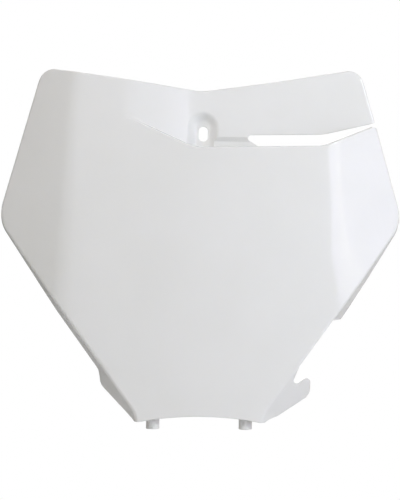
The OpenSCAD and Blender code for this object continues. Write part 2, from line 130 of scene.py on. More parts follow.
def blend(factor, a, b):
    """A colour between two colours."""
    return factor.node("ShaderNodeMix", {"data_type": "RGBA"}, {0: factor, 6: a, 7: b}, out=2)


plastic = bpy.data.materials.new("white_plastic")
plastic.use_nodes = True
gloss = plastic.node_tree.nodes["Principled BSDF"]
for name, value in plastic_body.items():
    gloss.inputs[name].default_value = value

skin = Value(plastic.node_tree, None).node("ShaderNodeTexCoord", out=3)
tilted = skin.node("ShaderNodeVectorRotate", {"rotation_type": "Y_AXIS"},
                   {"Vector": skin, "Angle": rub_slant})
cooled = between(noise(skin, cooled_size), *cooled_levels)
waves = noise(skin, wave_size, detail=0.0)
peel = noise(skin, peel_size, detail=1.0)
handled = between(noise(skin, handled_size, detail=3.0), *handled_levels)
upright_rubs = between(noise(skin, upright_rub, stretch=(1, 1, upright_stretch)), *rub_levels)
slanted_rubs = between(noise(tilted, slanted_rub, stretch=(slanted_stretch, 1, 1)), *rub_levels)
rubs = handled * (upright_rubs + slanted_rubs)
tone = blend(rubs * rub_shade, blend(cooled, milk, cream), dulled)
wavy = waves.node("ShaderNodeBump", {}, {"Height": waves, "Strength": 1.0, "Distance": wave_height})
peeled = peel.node("ShaderNodeBump", {}, {"Height": peel - rubs * rub_height, "Strength": 1.0,
                                          "Distance": peel_height, "Normal": wavy})
rough = roughness + cooled * cooled_roughness + rubs * rub_roughness
for name, value in (("Base Color", tone), ("Roughness", rough), ("Normal", peeled)):
    plastic.node_tree.links.new(value.socket, gloss.inputs[name])

# The board's sheet
# One injection moulding, 2.4 mm thick. Here it is a flat blank that a tree presses
# into shape: the tree crowns the plate, bends the wings, steps the top back and
# folds the sides into flanges.
crown_r, bend_x, wing_sweep = 0.6, 0.0881, math.radians(28)
sweep, band_step, ledge_share = math.radians(5.5), 0.014, 0.45
facet_from, facet_to = -0.050, -0.005
sheet_sizes = {
    "Wall": 0.0024,
    "Crest": -0.022,
    "Crown Radius": crown_r,
    "Wing Slope": math.tan(wing_sweep) - bend_x / crown_r,
    "Bend Distance": bend_x,
    "Bend Shift": 0.0004,
    "Left Bend Run": 0.056,
    "Right Bend Run": 0.072,
    "Bend Turn Height": -0.064,
    "Bend Turn Run": 0.03,
    "Bend Turn Length": 0.030,
    "Bend Softness": 0.0107,
    "Bend Softness Run": 0.046,
    "Least Softness": 0.0045,
    "Spread Height": -0.030,
    "Spread Run": 0.23,
    "Widening Height": -0.080,
    "Widening Run": 0.37,
    "Widening Length": 0.020,
    "Facet Start": facet_from,
    "Facet End": facet_to,
    "Facet Slope": (band_step + math.tan(sweep) * facet_to) / (facet_to - facet_from),
    "Facet Softness": 0.009,
    "Band Slope": math.tan(sweep),
    "Fold Radius": 0.0028,
}


def either(operation, plain):
    """A function that works on sockets and on plain numbers alike."""
    def call(*values):
        for v in values:
            if isinstance(v, Value):
                return v.math(operation, *values)
        return plain(*values)
    return call


least, most = either("MINIMUM", np.minimum), either("MAXIMUM", np.maximum)
sine, cosine = either("SINE", np.sin), either("COSINE", np.cos)
arctan, root = either("ARCTANGENT", np.arctan), either("SQRT", np.sqrt)


def ramp(u, w):
    """Nought, then u, with a parabola of width w between the two."""
    inside = least(most(u + w / 2, 0.0), w)
    return inside * inside / (2 * w) + most(u - w / 2, 0.0)


def ramp_slope(u, w):
    return least(most(u / w + 0.5, 0.0), 1.0)


class Sheet:
    """The rules of the pressed surface, on plain sizes or on a tree's inputs."""

    def __init__(self, sizes):
        self.size = sizes

    def widening(self, z):
        """How far the right bend has moved out, down towards the keel."""
        s = self.size
        return s["Widening Run"] * ramp(s["Widening Height"] - z, s["Widening Length"])

    def past_bend(self, x, z):
        """Distance past the middle of the bend, on either side."""
        s = self.size
        left = s["Bend Distance"] - s["Bend Shift"] - s["Left Bend Run"] * z
        right = (s["Bend Distance"] + s["Bend Shift"] - s["Right Bend Run"] * z
                 + s["Bend Turn Run"] * ramp(s["Bend Turn Height"] - z, s["Bend Turn Length"])
                 + self.widening(z))
        return abs(x) - left - (x > 0.0) * (right - left)

    def bent(self, x, z, rule):
        """The wing's share of a rule. The right bend splits in two further down."""
        s = self.size
        spread = s["Spread Run"] * ramp(s["Spread Height"] - z, s["Widening Length"])
        gap = (x > 0.0) * (spread + self.widening(z))
        soft = most(s["Bend Softness"] - s["Bend Softness Run"] * z - gap, s["Least Softness"])
        past = self.past_bend(x, z)
        return s["Wing Slope"] * (rule(past + gap / 2, soft) + rule(past - gap / 2, soft)) * 0.5

    def plate(self, x, z):
        """Depth of the crowned plate and of its wings."""
        s = self.size
        return s["Crest"] + x * x / (2 * s["Crown Radius"]) + self.bent(x, z, ramp)

    def plate_slope(self, x, z):
        side = (x > 0.0) * 2.0 - 1.0
        return x / self.size["Crown Radius"] + side * self.bent(x, z, ramp_slope)

    def stepped(self, x, rule):
        """A rule along the facet and then along the sloping band."""
        s = self.size
        soft = s["Facet Softness"]
        turn = s["Facet Slope"] - s["Band Slope"]
        return s["Facet Slope"] * rule(x - s["Facet Start"], soft) - turn * rule(x - s["Facet End"], soft)

    def band(self, x, z):
        """Depth of the band, which runs into the plate on the left."""
        crest = self.size["Crest"]
        left = 1.0 - (x > 0.0)
        return self.stepped(x, ramp) + crest + left * (self.plate(x, z) - crest)

    def band_slope(self, x, z):
        return self.stepped(x, ramp_slope) + (1.0 - (x > 0.0)) * self.plate_slope(x, z)

    def step(self, x, z):
        """How far the band lies behind the plate."""
        return most(self.band(x, z) - self.plate(x, z), 0.0)

    def front(self, x, z, tier, ledge):
        """Depth of the front: tier 0 follows the plate, tier 1 the band."""
        near = least(ledge, self.step(x, z) * ledge_share)
        low = self.plate(x, z) + near
        return low + tier * (self.band(x, z) - near - low)

    def front_slope(self, x, z, tier):
        low = self.plate_slope(x, z)
        return low + tier * (self.band_slope(x, z) - low)

    def pressed(self, x, t, z, tier, ledge, drop, side, lean, past, turn):
        """Where a point of the blank ends up once it is pressed and folded."""
        radius, wall = self.size["Fold Radius"], self.size["Wall"]
        x0 = x - side * past * cosine(lean)
        z0 = z - past * sine(lean)
        slope = self.front_slope(x0, z0, tier)
        begin = arctan(side * slope * cosine(lean))
        swing = turn - begin
        angle = begin + least(past / radius, swing)
        flat = most(past - radius * swing, 0.0)
        out = radius * (sine(angle) - sine(begin)) + flat * cosine(angle) - t * sine(angle)
        back = radius * (cosine(begin) - cosine(angle)) + flat * sine(angle) + t * cosine(angle)
        folded = abs(side)
        stretch = root(1.0 + slope * slope)
        sunk = drop * least(self.step(x0, z0) / wall, 1.0)
        return (x0 + side * out * cosine(lean),
                self.front(x0, z0, tier, ledge) + folded * back + (1.0 - folded) * t * stretch,
                z0 + folded * out * sine(lean) - sunk)


# The blank's outline in the front view, about the board's own middle
seat_x = 0.0012
half_w, tip_z, tip_r = 0.136, -0.0543, 0.024
side_lean, keel_lean = math.radians(16.7), math.radians(36.1)
bottom_w, bottom_r, bottom_arch = 0.0864, 0.0145, 0.0039
top_z, top_rise, top_blend = 0.028395, math.tan(math.radians(8.2)), 0.012
top_turn_x, top_turn, top_turn_soft = 0.052, math.tan(math.radians(1.8)), 0.030
ridge_z, rim_z, rim_lean = 0.0104, -0.0095, math.tan(math.radians(1.2))
rise_x, rim_rise = 0.083, math.tan(math.radians(22))
edge_roll, edge_lip, edge_r = math.radians(35), 0.0006, 0.0006
rim_r, rim_draft, rim_ledge, fillet_r = 0.0008, 0.0005, 0.004, 0.0010

plain = Sheet(sheet_sizes)
wall, crest, fold_r = (sheet_sizes[name] for name in ("Wall", "Crest", "Fold Radius"))
facet_soft = sheet_sizes["Facet Softness"]
tip_cx = half_w - tip_r
tip_top, tip_foot = tip_z + tip_r * math.sin(side_lean), tip_z - tip_r * math.sin(keel_lean)
bottom_cx = bottom_w / 2 + bottom_r
keel_x = tip_cx + tip_r * math.cos(keel_lean)
bottom_top = tip_foot - (keel_x - bottom_cx + bottom_r * math.cos(keel_lean)) / math.tan(keel_lean)
bottom_z = bottom_top - bottom_r * math.sin(keel_lean)


def edge_lean(z):
    """Angle of the side's normal: up the side, round the tip, down the keel."""
    if z >= tip_top:
        return side_lean
    if z >= tip_foot:
        return math.asin((z - tip_z) / tip_r)
    if z >= bottom_top:
        return -keel_lean
    return math.asin(max(-1.0, (bottom_z - z) / bottom_r))


def edge_x(z):
    """Where the side lies at a height."""
    if z >= tip_top:
        return tip_cx + tip_r * math.cos(side_lean) - (z - tip_top) * math.tan(side_lean)
    if z >= tip_foot:
        return tip_cx + tip_r * math.cos(edge_lean(z))
    if z >= bottom_top:
        return keel_x - (tip_foot - z) * math.tan(keel_lean)
    return bottom_cx - bottom_r * math.cos(edge_lean(z))


def rim_at(x):
    """Height of the plate's rim: the ridge, down the facet, level, then up."""
    fall = (ridge_z - rim_z) / (facet_to - facet_from)
    past_facet = ramp(x - facet_to, facet_soft)
    return (ridge_z - fall * (ramp(x - facet_from, facet_soft) - past_facet)
            + rim_lean * past_facet + (rim_rise - rim_lean) * ramp(x - rise_x, facet_soft))


def top_at(x):
    """Height of the top edge, a soft dip that turns up once more on the right."""
    dip = top_z + top_rise * (2 * ramp(x, top_blend) - x)
    return dip + top_turn * ramp(x - top_turn_x, top_turn_soft)


rise_z = rim_z + rim_lean * (rise_x - facet_to)
rim_end_z = (rise_z + rim_rise * (edge_x(0) - rise_x)) / (1 + rim_rise * math.tan(side_lean))
top_slope = {-1: top_rise, 1: top_rise + top_turn}
top_corner_z = {
    s: (top_z - (s > 0) * top_turn * top_turn_x + slope * edge_x(0)) / (1 + slope * math.tan(side_lean))
    for s, slope in top_slope.items()}

# The flanges' depths, and in degrees how far they flare, by height
lobe_z, lobe_flat, lobe_run, toe_up = -0.168, 0.0028, 0.010, 0.005
gap_top_z, flange_z = -0.125, -0.118
root_depth, toe_depth, lobe_depth, hook_depth, flange_depth = 0.002, 0.012, 0.025, 0.032, 0.0165
lobe_flare, left_flare, hook_flare, right_flare = 19, 11.5, 35, 17
lobe_top_z = lobe_z + lobe_flat


def flange(deepest, shallow_z):
    """Depths of a flange, from the bottom edge up to the tip."""
    return [(bottom_z, root_depth), (bottom_z + toe_up, toe_depth), (lobe_z, deepest),
            (lobe_top_z, deepest), (shallow_z, flange_depth), (flange_z, flange_depth), (tip_z, edge_lip)]


flanges = {-1: flange(lobe_depth, lobe_z + lobe_run), 1: flange(hook_depth, gap_top_z)}
flares = {-1: [(lobe_top_z, lobe_flare), (lobe_z + lobe_run, left_flare)],
          1: [(lobe_top_z, hook_flare), (gap_top_z, right_flare)]}


def read_off(pairs, z):
    return float(np.interp(z, *zip(*pairs)))


def rounding(radius, steps):
    """Insets and depths that round an edge off, from the surface to its side."""
    angles = [math.pi / 2 * k / steps for k in range(steps + 1)]
    return [(radius * (1 - math.sin(a)), radius * (1 - math.cos(a))) for a in angles]


# Rows of the blank: a height along x, a height at either side, then the row's
# tier, ledge, drop of the rear face and depth of the rounded edge
low_rows, plate_rows, band_rows = 75, 21, 23
tip_line = (lambda x: tip_top + 0 * x, (tip_top, tip_top))
rim_line = (rim_at, (ridge_z, rim_end_z))
top_line = (top_at, (top_corner_z[-1], top_corner_z[1]))
edge_round = rounding(edge_r, 3)
rows = []


def low_row(z, sunk=0.0):
    """A row below the tips, arched more and more towards the bottom edge."""
    arch = bottom_arch * max(0.0, (lobe_z - z) / (lobe_z - bottom_z))
    rows.append((lambda x: z + arch * np.maximum(0, 1 - (2 * x / bottom_w) ** 2), (z, z), 0, 0, 0, sunk))


def row_between(low, low_up, high, high_up, k, *rest):
    """A row at share k of the way between two lines, each of them moved up."""
    def height(x):
        return (low[0](x) + low_up) * (1 - k) + (high[0](x) + high_up) * k
    ends = tuple((a + low_up) * (1 - k) + (b + high_up) * k for a, b in zip(low[1], high[1]))
    rows.append((height, ends, *rest))


for inset, depth in reversed(edge_round):
    low_row(bottom_z + inset, depth)
for z in np.linspace(bottom_z + edge_r, tip_top, low_rows + 1)[1:]:
    low_row(z)
for k in np.linspace(0, 1, plate_rows + 1)[1:]:
    row_between(tip_line, 0, rim_line, -rim_r, k, 0, 0, wall - rim_r if k == 1 else 0, 0)
for inset, depth in rounding(rim_r, 5)[1:]:
    row_between(rim_line, -inset, rim_line, 0, 0, 0, depth, wall - inset, 0)
row_between(rim_line, rim_draft / 2, rim_line, 0, 0, 0, rim_ledge, wall + rim_draft / 2, 0)
for inset, depth in rounding(fillet_r, 4):
    up = rim_draft + depth
    row_between(rim_line, up, rim_line, 0, 0, 1, inset, wall + up, 0)
for k in np.linspace(0, 1, band_rows + 1)[1:]:
    row_between(rim_line, rim_draft + fillet_r, top_line, -edge_r, k, 1, 0, 0, 0)
for inset, depth in edge_round[1:]:
    row_between(top_line, -inset, top_line, 0, 0, 1, 0, 0, depth)

# Each row becomes two lines of points, front and rear, out along both folds
arc_steps, flat_steps, plate_steps, row_blend, foot_rounds = 9, 9, 132, 8, 6
fold_room = 1.2 * wall
lines = {"front": [], "rear": []}
for height, ends, tier, ledge, drop, sunk in rows:
    feet, wings = [], []
    for side, end in zip((-1, 1), ends):
        lean, reach = edge_lean(end), edge_x(end)
        share = min(1.0, max(0.0, (tip_top - end) / (tip_top - tip_foot)))
        x0, z0 = side * reach, end
        for _ in range(foot_rounds):
            begin = math.atan(side * plain.front_slope(x0, z0, tier) * math.cos(lean))
            square = math.pi / 2 - math.radians(read_off(flares[side], end))
            turn = (begin + edge_roll) * (1 - share) + square * share
            run = fold_r * (math.sin(turn) - math.sin(begin))
            x0, z0 = side * (reach - run * math.cos(lean)), end - run * math.sin(lean)
        arc, depth = fold_r * (turn - begin), read_off(flanges[side], end)
        past = [arc * k / arc_steps for k in range(arc_steps + 1)]
        past += [arc + (depth - edge_r) * k / flat_steps for k in range(1, flat_steps + 1)]
        stops = [(p, sunk) for p in past] + [(arc + depth - i, max(d, sunk)) for i, d in edge_round[1:]]
        feet.append((x0, z0))
        wings.append([(x0 + side * p * math.cos(lean), d, z0 + p * math.sin(lean), side, lean, p, turn)
                      for p, d in stops])
    (xa, za), (xb, zb) = feet
    along = np.linspace(xa + fold_room, xb - fold_room, plate_steps + 1)
    fade = np.linspace(1, 0, along.size) ** row_blend
    levels = height(along) + (za - height(xa)) * fade + (zb - height(xb)) * fade[::-1]
    middle = [(x, sunk, z, 0, 0, 0, 0) for x, z in zip(along, levels)]
    whole = wings[0][::-1] + middle + wings[1]
    lines["front"].append([(x, d, z, tier, ledge, 0, *fold) for x, d, z, *fold in whole])
    lines["rear"].append([(x, wall - d, z, tier, ledge, 0 if fold[0] else drop, *fold)
                          for x, d, z, *fold in whole])

points = np.array(lines["front"] + lines["rear"], dtype=float)
column_count = points.shape[1]
index = np.arange(2 * len(rows) * column_count).reshape(2, len(rows), column_count)


def strips(a):
    """Four-sided faces over a grid of point numbers."""
    return np.stack([a[:-1, :-1], a[:-1, 1:], a[1:, 1:], a[1:, :-1]], -1).reshape(-1, 4)


border = [index[:, 0, :-1], index[:, :-1, -1], index[:, -1, :0:-1], index[:, :0:-1, 0], index[:, 0, :1]]
rim_faces = strips(np.concatenate(border, 1))
faces = np.concatenate([strips(index[0]), strips(index[1])[:, ::-1], rim_faces[:, ::-1]])
flat = points.reshape(-1, points.shape[2])

blank = bpy.data.meshes.new("blank")
blank.from_pydata(flat[:, :3].tolist(), [], faces.tolist())
mark_names = ("tier", "ledge", "drop", "side", "lean", "past", "turn")
for name, column in zip(mark_names, flat.T[3:]):
    blank.attributes.new(name, "FLOAT", "POINT").data.foreach_set("value", column)
board = bpy.data.objects.new("board", blank)
bpy.context.collection.objects.link(board)


def new_tree(name, numbers):
    """A tree with a geometry, named sizes and a material going in."""
    tree = bpy.data.node_groups.new(name, "GeometryNodeTree")
    tree.interface.new_socket("Geometry", in_out="OUTPUT", socket_type="NodeSocketGeometry")
    tree.interface.new_socket("Geometry", in_out="INPUT", socket_type="NodeSocketGeometry")
    for number in numbers:
        tree.interface.new_socket(number, in_out="INPUT", socket_type="NodeSocketFloat")
    tree.interface.new_socket("Plastic", in_out="INPUT", socket_type="NodeSocketMaterial")
    entry = tree.nodes.new("NodeGroupInput")
    return tree, {s.name: Value(tree, s) for s in entry.outputs if s.name}


def end_tree(tree, shaped, material):
    """Realizes what was made, gives it its material and hands it out."""
    real = shaped.node("GeometryNodeRealizeInstances", {}, {0: shaped})
    clad = real.node("GeometryNodeSetMaterial", {}, {"Geometry": real, "Material": material})
    tree.links.new(clad.socket, tree.nodes.new("NodeGroupOutput").inputs[0])


def apply_tree(obj, tree, settings):
    """Puts a tree on an object, each input set by its socket's identifier."""
    modifier = obj.modifiers.new(tree.name, "NODES")
    modifier.node_group = tree
    for item in tree.interface.items_tree:
        if item.in_out == "INPUT" and item.name in settings:
            modifier[item.identifier] = settings[item.name]


press, given = new_tree("press the blank", [*sheet_sizes, "Seat Offset"])
spot = given["Geometry"].node("GeometryNodeInputPosition")
split = spot.node("ShaderNodeSeparateXYZ", {}, {0: spot}).socket.node
place = [Value(press, s) for s in split.outputs]
marked = [spot.node("GeometryNodeInputNamedAttribute", {"data_type": "FLOAT"}, {"Name": name})
          for name in mark_names]
x, y, z = Sheet(given).pressed(*place, *marked)
moved = spot.node("ShaderNodeCombineXYZ", {}, {0: x - given["Seat Offset"], 1: y, 2: z})
shaped = spot.node("GeometryNodeSetPosition", {}, {"Geometry": given["Geometry"], "Position": moved})
end_tree(press, shaped, given["Plastic"])
apply_tree(board, press, {**sheet_sizes, "Seat Offset": seat_x, "Plastic": plastic})

# The screw seat's boss
# An arched boss of the same plastic, moulded in one with the band's rear. A wall
# leads from it to the air slot, behind the channel in the band's lower edge.
pocket_r, pocket_z, boss_foot = 0.00985, 0.0042, rim_z - wall - 0.001
boss_root, boss_lip = 0.8 * wall, 0.0006
channel_depth, channel_z, channel_side, channel_end = 0.0023, -0.0020, 0.0029, 0.0405
back_depth, back_r, back_lip = 0.004 + wall, 0.002, 0.0006
back_over, ring_gap = 0.0005, 0.001
arch_points, foot_points, side_points = 49, 14, 10
tools = []


def lofted(name, rings, operation="DIFFERENCE"):
    """A closed solid through rings of points, joined to the board or cut from it."""
    stack = np.array(rings, dtype=float)
    at = np.arange(stack.shape[0] * stack.shape[1]).reshape(stack.shape[:2])
    ahead = np.roll(at, -1, axis=1)
    sides = np.stack([at[:-1], ahead[:-1], ahead[1:], at[1:]], -1).reshape(-1, 4)
    mesh = bpy.data.meshes.new(name)
    mesh.from_pydata((stack.reshape(-1, 3) - (seat_x, 0, 0)).tolist(), [],
                     [*sides.tolist(), at[0].tolist(), at[-1].tolist()])
    shell = bmesh.new()
    shell.from_mesh(mesh)
    bmesh.ops.recalc_face_normals(shell, faces=shell.faces)
    shell.to_mesh(mesh)
    shell.free()
    mesh.materials.append(plastic)
    tool = bpy.data.objects.new(name, mesh)
    bpy.context.collection.objects.link(tool)
    tools.append(tool)
    boolean = board.modifiers.new(name, "BOOLEAN")
    boolean.operation, boolean.solver, boolean.object = operation, "MANIFOLD", tool


def at_depth(line, y):
    """An outline of the front view as a ring at a depth."""
    return np.stack([line[:, 0], np.broadcast_to(y, line[:, 0].shape), line[:, 1]], -1)


def arched(radius, foot):
    """Outline of the seat's arch and its normals, standing on the line foot."""
    turns = np.linspace(0, math.pi, arch_points)
    rays = np.stack([np.cos(turns), np.sin(turns)], -1)
    arch = rays * radius + (seat_x, pocket_z)
    across = np.linspace(-radius, radius, foot_points)
    base = np.stack([seat_x + across, foot(seat_x + across)], -1)
    rise = np.linspace(0, 1, side_points)[1:-1, None]
    down = arch[-1] + (base[0] - arch[-1]) * rise
    up = base[-1] + (arch[0] - base[-1]) * rise
    under = np.stack([across / radius, 0 * across], -1)
    normals = np.concatenate([rays, [[-1, 0]] * len(down), under, [[1, 0]] * len(up)])
    return np.concatenate([arch, down, base, up]), normals


def rounded(corners, steps=8):
    """A closed outline whose corners (a, b, radius) are arcs."""
    nearly_straight = 1.56
    line = []
    for k, (a, b, r) in enumerate(corners):
        here = np.array((a, b))
        before, after = (np.array(corners[j][:2]) - here for j in (k - 1, (k + 1) % len(corners)))
        before, after = before / np.linalg.norm(before), after / np.linalg.norm(after)
        half = math.acos(float(np.clip(before @ after, -1, 1))) / 2
        if r == 0 or half > nearly_straight:
            line.append(here)
            continue
        centre = here + (before + after) / np.linalg.norm(before + after) * r / math.sin(half)
        first, last = (here + ray * r / math.tan(half) - centre for ray in (before, after))
        for t in np.linspace(0, 1, steps + 1):
            ray = first * (1 - t) + last * t
            line.append(centre + ray * r / np.linalg.norm(ray))
    return np.array(line)


def along_band(profile, x_from, x_to, foot=None):
    """Rings of a profile (depth behind the band, height) from x to x."""
    rings = []
    for x in np.linspace(x_from, x_to, max(2, round((x_to - x_from) / ring_gap))):
        low = profile[:, 1] if foot is None else np.maximum(profile[:, 1], foot(x))
        rings.append(np.stack([x * math.cos(sweep) - profile[:, 0] * math.sin(sweep),
                               crest + band_step + x * math.sin(sweep) + profile[:, 0] * math.cos(sweep),
                               low], -1))
    return rings


line, normals = arched(pocket_r + wall, lambda x: 0 * x + boss_foot)
boss = [at_depth(line, plain.band(line[:, 0], line[:, 1]) + boss_root)]
boss += [at_depth(line - normals * inset, -depth) for inset, depth in reversed(rounding(boss_lip, 4))]
lofted("boss", boss, "UNION")

back_top, back_foot = channel_z + wall, boss_foot + back_over
back = rounded([(wall / 2, back_top, 0), (wall + back_over, back_top, 0),
                (back_depth, back_top - channel_side, back_r), (back_depth, back_foot, back_lip),
                (wall / 2, back_foot, 0)])
lofted("channel_back", along_band(back, seat_x + pocket_r - ring_gap, channel_end), "UNION")

# The shelf and the locating pins
# A shelf is moulded along the arched bottom edge, behind the plate. Two stepped
# pins stand down from it, to sit in grommets, and a web stiffens each from above.
shelf_front, shelf_rear, shelf_lip = crest + wall - 0.0003, crest + 0.017, 0.0005
shelf_top = bottom_z + bottom_arch + 0.0016
shelf_r = ((bottom_w / 2) ** 2 + bottom_arch ** 2) / (2 * bottom_arch)
pin_gap, pin_r, pin_l, pin_y = 0.0625, 0.0045, 0.0073, crest + 0.011
pin_lip, pin_fillet, shoulder = 0.0006, 0.0004, 0.0014
web_in, web_h, web_lip = 0.001, 0.014, 0.0005
shelf_points, pin_points = 49, 64


def outward(line):
    """Normals of a closed outline, away from what it encloses."""
    edges = np.roll(line, -1, axis=0) - line
    turn = np.sign(np.sum(line[:, 0] * np.roll(line[:, 1], -1) - line[:, 1] * np.roll(line[:, 0], -1)))
    sides = turn * np.stack([edges[:, 1], -edges[:, 0]], -1) / np.linalg.norm(edges, axis=1)[:, None]
    both = sides + np.roll(sides, 1, axis=0)
    return both / np.linalg.norm(both, axis=1)[:, None]


def shelf_z(x):
    """Height of the shelf's underside."""
    return shelf_top - bottom_arch * (2 * x / bottom_w) ** 2


swing = np.linspace(-1, 1, shelf_points) * math.asin((bottom_w / 2 - wall) / shelf_r)
bow = np.stack([np.sin(swing), np.cos(swing)], -1)
bow_centre = np.array([0, shelf_top - shelf_r])
shelf = np.concatenate([bow * shelf_r + bow_centre, (bow * (shelf_r + wall) + bow_centre)[::-1]])
shelf_rings = [at_depth(shelf, shelf_front)]
shelf_rings += [at_depth(shelf - outward(shelf) * inset, shelf_rear - depth)
                for inset, depth in reversed(rounding(shelf_lip, 3))]
lofted("shelf", shelf_rings, "UNION")

root_z = shelf_z(pin_gap / 2 + 2 * pin_r)
pin_profile = [(pin_r - inset, root_z - pin_l + depth) for inset, depth in rounding(pin_lip, 4)]
pin_profile += [(pin_r, root_z - pin_fillet), (pin_r + pin_fillet / 2, root_z - pin_fillet / 4),
                (pin_r + pin_fillet, root_z), (pin_r + shoulder, root_z), (pin_r + shoulder, root_z + wall)]
round_the_pin = np.linspace(0, 2 * math.pi, pin_points + 1)[:-1]
for side in (-1, 1):
    x_pin = side * pin_gap / 2
    lofted("pin", [np.stack([x_pin + r * np.cos(round_the_pin), pin_y + r * np.sin(round_the_pin),
                             z + 0 * round_the_pin], -1) for r, z in pin_profile], "UNION")
    foot = shelf_z(x_pin) + wall / 2
    web = rounded([(shelf_front + web_in, foot, 0), (shelf_rear - web_in, foot, 0),
                   (shelf_front + 2 * web_in, foot + web_h, web_lip),
                   (shelf_front + web_in, foot + web_h, 0)])
    lofted("web", [np.stack([0 * web[:, 0] + x_pin + x, web[:, 0], web[:, 1]], -1)
                   for x in (-wall / 2, wall / 2)], "UNION")

# The pocket and the channel
# A dished pocket is sunk into the boss from the front, with an upright slot for
# one screw in its floor. The channel leads from it, its upper edge rolled over.
slot_w, slot_l, slot_lip, seat_wall = 0.0062, 0.0101, 0.0003, 0.003
slot_end_r, slot_points, knee_points = 0.999 * slot_w / 2, 16, 8
mouth_r, floor_r, foot_lift = 0.01075, slot_w / 2 + 0.0012, 0.00055
bowl_steps, cone_share = 16, 0.3
channel_foot, channel_over, knee_r = -0.012, 0.002, 0.0012
near, far, lip_steps, lip_start = -0.2, 0.1, 6, math.radians(8)


def mouth(line, normals, weight, lip, depth, front=True):
    """Rings that round the mouth of a cut over, where it meets a surface."""
    turns = np.linspace(lip_start, math.pi / 2, lip_steps + 1)
    rings = []
    for a in turns if front else turns[::-1]:
        at = line + normals * (lip * (1 - math.sin(a)) * weight)[:, None]
        sunk = lip * (1 - math.cos(a)) * (1 if front else -1)
        rings.append(at_depth(at, depth(at[:, 0], at[:, 1]) + sunk))
    end = rings[0].copy() if front else rings[-1].copy()
    end[:, 1] = near if front else far
    return [end, *rings] if front else [*rings, end]


line, normals = arched(mouth_r, lambda x: rim_at(x) + foot_lift)
bowl = [at_depth(line, near)]
for u in np.linspace(0, 1, bowl_steps + 1):
    sunk = cone_share * u + (1 - cone_share) * u * u * (3 - 2 * u)
    at = line - normals * (mouth_r - floor_r) * u
    bowl.append(at_depth(at, plain.band(at[:, 0], at[:, 1]) * (1 - sunk) - seat_wall * sunk))
lofted("pocket", bowl)

screw_slot = rounded([(seat_x + a * slot_w / 2, b * slot_l / 2, slot_end_r)
                      for a, b in ((-1, -1), (1, -1), (1, 1), (-1, 1))], slot_points)
all_round = np.ones(len(screw_slot))
lofted("screw_slot",
       mouth(screw_slot, outward(screw_slot), all_round, slot_lip, lambda x, z: 0 * x - seat_wall)
       + mouth(screw_slot, outward(screw_slot), all_round, slot_lip, lambda x, z: 0 * x, False))

slant = math.atan2(channel_depth, channel_side)
knee_turns = np.linspace(lip_start, slant, knee_points)
knee = np.stack([knee_r - knee_r * np.cos(knee_turns),
                 channel_z + knee_r * math.tan(slant / 2) - knee_r * np.sin(knee_turns)], -1)
channel_wall = rounded([(*knee[-1], 0), (channel_depth, channel_z - channel_side, knee_r),
                        (channel_depth, channel_foot, 0), (-wall, channel_foot, 0)])
channel = np.concatenate([[(-wall, knee[0, 1])], knee[:-1], channel_wall[:-1], [(-wall, channel_foot)]])
lofted("channel", along_band(channel, seat_x, channel_end + channel_over, lambda x: rim_at(x) + foot_lift))

# The air slot and the corners
# The slot lets air through between the plate's rim and the band, and is open at
# its right end. The corners there and at the top are rounded in the mould.
slot_x, slot_top_z, slot_nose_r, slot_ramp = 0.0315, -0.0005, 0.002, 0.007
slot_rise, slot_lift, slot_far = math.tan(math.radians(13.3)), 0.00065, 0.1384
slot_step, nose_start, nose_end, ramp_steps = 0.0015, math.pi / 2, math.radians(235), 5
air_lip, rear_lip, corner_clear = 0.0006, 0.0005, 0.003
top_corner_r, plate_corner_r, band_corner_r = 0.011, 0.003, 0.002
nose_points, corner_points = 20, 25


def front_depth(x, z, tier):
    """Depth of the front surface at a place in the front view, rolled edge included."""
    depth_rounds, steepest = 3, 0.98
    side = np.sign(x)
    rim_edge = edge_x(0) * math.cos(side_lean)
    x0, z0 = x, z
    for _ in range(depth_rounds):
        begin = np.arctan(side * plain.front_slope(x0, z0, tier) * math.cos(side_lean))
        run = fold_r * (np.sin(begin + edge_roll) - np.sin(begin))
        over = np.maximum(0, np.abs(x) * math.cos(side_lean) + z * math.sin(side_lean) - rim_edge + run)
        x0, z0 = x - side * over * math.cos(side_lean), z - over * math.sin(side_lean)
    angle = np.arcsin(np.minimum(steepest, over / fold_r + np.sin(begin)))
    return plain.front(x0, z0, tier, 0.0) + fold_r * (np.cos(begin) - np.cos(angle))


def rear_depth(x, z, tier):
    """Depth of the rear surface, one wall behind the front."""
    small = 1e-4
    here = front_depth(x, z, tier)
    dx = (front_depth(x + small, z, tier) - here) / small
    dz = (front_depth(x, z + small, tier) - here) / small
    return here + wall * np.sqrt(1 + dx * dx + dz * dz)


def in_channel(x, z, tier):
    """Depth of the surface that the slot's left end meets."""
    sunk = np.clip((channel_z - z) * channel_depth / channel_side, 0, channel_depth)
    return front_depth(x, z, tier) + sunk * (x < channel_end + channel_over)


def through(name, line, normals, weight, lips, tier=1, depth=front_depth):
    """A cut right through the sheet, with both of its edges rounded."""
    lofted(name, mouth(line, normals, weight, lips[0], lambda x, z: depth(x, z, tier))
           + mouth(line, normals, weight, lips[1], lambda x, z: rear_depth(x, z, tier), False))


def slot_upper(x):
    """Height of the air slot's upper edge."""
    return slot_top_z + rim_lean * (x - slot_x) + (slot_rise - rim_lean) * ramp(x - rise_x, facet_soft)


